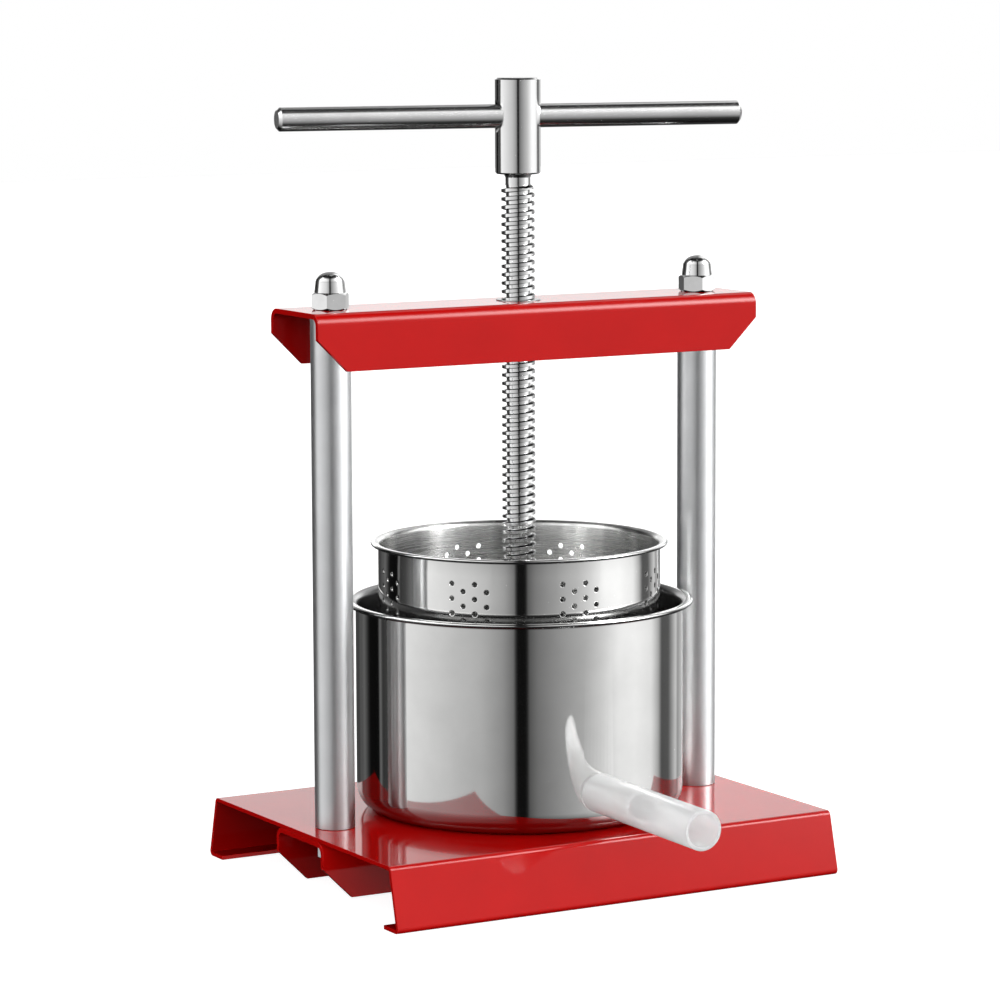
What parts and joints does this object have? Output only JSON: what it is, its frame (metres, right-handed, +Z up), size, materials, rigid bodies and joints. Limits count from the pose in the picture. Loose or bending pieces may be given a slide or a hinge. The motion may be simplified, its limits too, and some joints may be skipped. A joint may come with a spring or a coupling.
{
  "type": "cheese press",
  "caption": "Bench-top cheese press: red folded-steel frame, T-handled screw, perforated basket in a stainless whey pot with a low outlet hose.",
  "frame": {"origin": "middle of the base tray's footprint on the bench surface, on the press screw's axis", "axes": "+Z up along the press screw, +X along the top beam, -Y towards the whey outlet"},
  "size_m": [0.24, 0.2725, 0.3805],
  "materials": {
    "red_paint": "gloss powder coat",
    "satin_aluminium": "satin drawn tube",
    "zinc_steel": "zinc plated",
    "polished_steel": "polished",
    "turned_steel": "turned",
    "spring_steel": "blackened spring steel",
    "stainless_satin": "satin stainless",
    "stainless_mirror": "mirror polished stainless",
    "clear_hose": "translucent milky"
  },
  "bodies": {
    "frame": {"base_tray": "red_paint", "base_channel": "red_paint", "left_post": "satin_aluminium", "right_post": "satin_aluminium", "left_tie_rod": "zinc_steel", "right_tie_rod": "zinc_steel", "left_cap_nut": "polished_steel", "right_cap_nut": "polished_steel", "base_washers": "zinc_steel", "base_nuts": "zinc_steel", "top_beam": "red_paint", "screw_bush": "turned_steel"},
    "press_plate": {"pressure_plate": "stainless_satin", "plate_boss": "stainless_satin"},
    "screw": {"press_screw": "polished_steel", "handle_hub": "polished_steel", "handle_bar": "polished_steel", "retaining_ring": "spring_steel"},
    "pot": {"outer_pot": "stainless_mirror", "spout_stub": "stainless_mirror"},
    "hose": {"outlet_hose": "clear_hose"},
    "basket": {"basket": "stainless_mirror"}
  },
  "joints": [
    {"name": "plate_travel", "type": "slide", "parent": "frame", "child": "press_plate", "axis": [0, 0, 1], "range_m": [-0.0571, 0.1301]},
    {"name": "screw_turn", "type": "hinge", "parent": "press_plate", "child": "screw", "pos_m": [0, 0, 0.25], "axis": [0, 0, 1], "range_deg": [-5130, 11700]},
    {"name": "pot_turn", "type": "hinge", "parent": "frame", "child": "pot", "pos_m": [0, 0, 0.03], "axis": [0, 0, 1], "range_deg": [-74, 78]},
    {"name": "hose_pull", "type": "slide", "parent": "pot", "child": "hose", "axis": [-0.0401, -0.9992, 0], "range_m": [0, 0.04]},
    {"name": "basket_turn", "type": "hinge", "parent": "pot", "child": "basket", "pos_m": [0, 0, 0.031], "axis": [0, 0, 1], "continuous": true}
  ],
  "couplings": [
    {"joint": "plate_travel", "follows": "screw_turn", "m_per_rad": 0.00063662}
  ]
}
